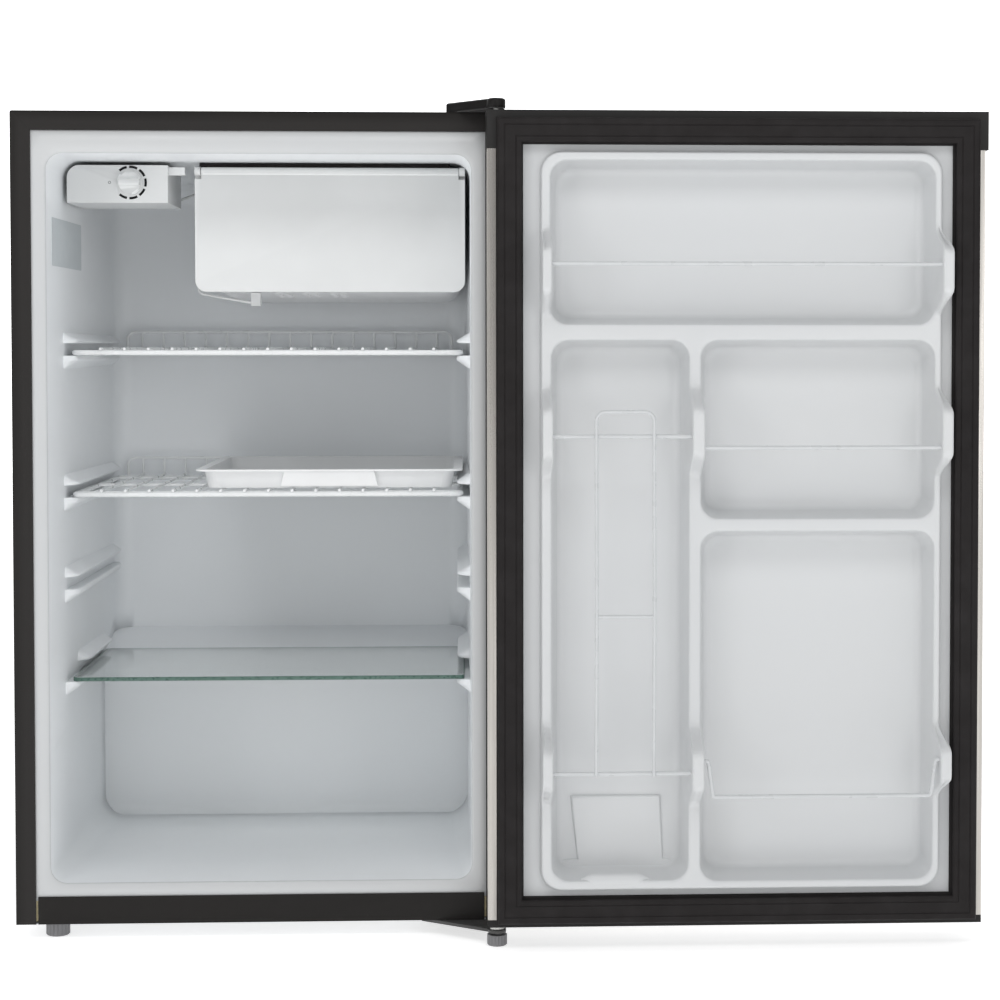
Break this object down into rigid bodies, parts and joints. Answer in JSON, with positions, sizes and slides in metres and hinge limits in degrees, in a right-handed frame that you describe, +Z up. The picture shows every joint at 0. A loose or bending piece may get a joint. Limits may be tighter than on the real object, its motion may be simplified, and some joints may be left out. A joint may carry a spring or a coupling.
{
  "type": "compact refrigerator",
  "caption": "Compact upright refrigerator, hinged door with bins and can rack, freezer box, wire and glass shelves, drip tray, dial and levelling feet.",
  "frame": {"origin": "on the floor, on the door's hinge axis, where the right front foot stands", "axes": "+X to the right seen from the front, +Y from the front to the back, +Z up"},
  "size_m": [0.97, 0.5724, 0.843],
  "materials": {
    "black_steel": "satin black paint",
    "stainless": "vertical brushed grain, clear coat",
    "white_liner": "formed white sheet, soft gloss",
    "white_moulding": "white moulded plastic",
    "black_moulding": "fine-grained black plastic",
    "seal_black": "matt flexible seal",
    "white_wire": "white dipped coating",
    "clear_glass": "clear, green at the edges",
    "bare_aluminium": "white-lacquered rolled sheet",
    "zinc_steel": "zinc plated",
    "bracket_steel": "dark grey paint",
    "grey_moulding": "grey moulded plastic",
    "pot_black": "gloss black enamel",
    "copper": "drawn copper tube",
    "soft_rubber": "matt black rubber",
    "insulation": "rigid foam",
    "galvanised": "galvanised sheet",
    "magnet": "flexible magnet strip"
  },
  "bodies": {
    "cabinet": {"outer_wrap": "black_steel", "front_bottom_rail": "black_steel", "base_plate": "galvanised", "niche_panel": "galvanised", "rear_panel": "black_steel", "inner_liner": "white_liner", "condenser_coil": "copper", "hinge_backing_plates": "galvanised", "cabinet_foam": "insulation", "compressor": "pot_black", "compressor_grommets": "soft_rubber", "compressor_bolts": "zinc_steel", "terminal_cover": "black_moulding", "cord_gland": "black_moulding", "filter_drier": "copper", "refrigerant_pipes": "copper", "evaporator_box": "bare_aluminium", "evaporator_screws": "zinc_steel", "evaporator_spacers": "white_moulding", "freezer_front_frame": "white_moulding", "freezer_top_seal": "seal_black", "thermostat_housing": "white_moulding", "thermostat_body": "grey_moulding", "sensor_tube": "white_moulding", "sensor_clamp": "white_moulding", "top_hinge_bracket": "bracket_steel", "top_hinge_pin": "zinc_steel", "top_hinge_cover": "black_moulding", "top_hinge_screws": "zinc_steel", "bottom_hinge_bracket": "bracket_steel", "bottom_hinge_pin": "zinc_steel", "bottom_hinge_screws": "zinc_steel", "rear_feet": "grey_moulding"},
    "door": {"door_skin": "stainless", "door_liner": "white_liner", "door_foam": "insulation", "door_gasket": "seal_black", "gasket_magnets": "magnet", "door_top_cap": "black_moulding", "door_bottom_cap": "black_moulding", "top_bush": "white_moulding", "bottom_bush": "white_moulding", "door_stop": "black_moulding", "top_rack_bar": "white_wire", "middle_rack_bar": "white_wire", "low_rack_bar": "white_wire", "can_rack": "white_wire"},
    "freezer_flap": {"freezer_flap": "white_moulding"},
    "thermostat_knob": {"thermostat_knob": "white_moulding"},
    "upper_wire_shelf": {"upper_wire_shelf": "white_wire"},
    "lower_wire_shelf": {"lower_wire_shelf": "white_wire"},
    "glass_shelf": {"glass_shelf": "clear_glass"},
    "drip_tray": {"drip_tray": "white_moulding"},
    "front_left_foot": {"front_left_foot": "grey_moulding"},
    "front_right_foot": {"front_right_foot": "grey_moulding"}
  },
  "joints": [
    {"name": "door_hinge", "type": "hinge", "parent": "cabinet", "child": "door", "pos_m": [0, 0, 0.4], "axis": [0, 0, 1], "range_deg": [-180, 0]},
    {"name": "freezer_flap_hinge", "type": "hinge", "parent": "cabinet", "child": "freezer_flap", "pos_m": [-0.172, 0.1335, 0.7805], "axis": [-1, 0, 0], "range_deg": [0, 85]},
    {"name": "thermostat_dial", "type": "hinge", "parent": "cabinet", "child": "thermostat_knob", "pos_m": [-0.378, 0.12, 0.768], "axis": [0, 1, 0], "range_deg": [0, 270]},
    {"name": "upper_shelf_slide", "type": "slide", "parent": "cabinet", "child": "upper_wire_shelf", "axis": [0, -1, 0], "range_m": [0, 0.33]},
    {"name": "lower_shelf_slide", "type": "slide", "parent": "cabinet", "child": "lower_wire_shelf", "axis": [0, -1, 0], "range_m": [0, 0.33]},
    {"name": "glass_shelf_slide", "type": "slide", "parent": "cabinet", "child": "glass_shelf", "axis": [0, -1, 0], "range_m": [0, 0.24]},
    {"name": "drip_tray_slide", "type": "slide", "parent": "lower_wire_shelf", "child": "drip_tray", "axis": [0, -1, 0], "range_m": [0, 0.3]},
    {"name": "front_left_foot_screw", "type": "hinge", "parent": "cabinet", "child": "front_left_foot", "pos_m": [-0.446, 0.061, 0.01], "axis": [0, 0, 1], "range_deg": [0, 1800]},
    {"name": "front_right_foot_screw", "type": "hinge", "parent": "cabinet", "child": "front_right_foot", "pos_m": [0, 0, 0.01], "axis": [0, 0, 1], "range_deg": [0, 1800]}
  ]
}
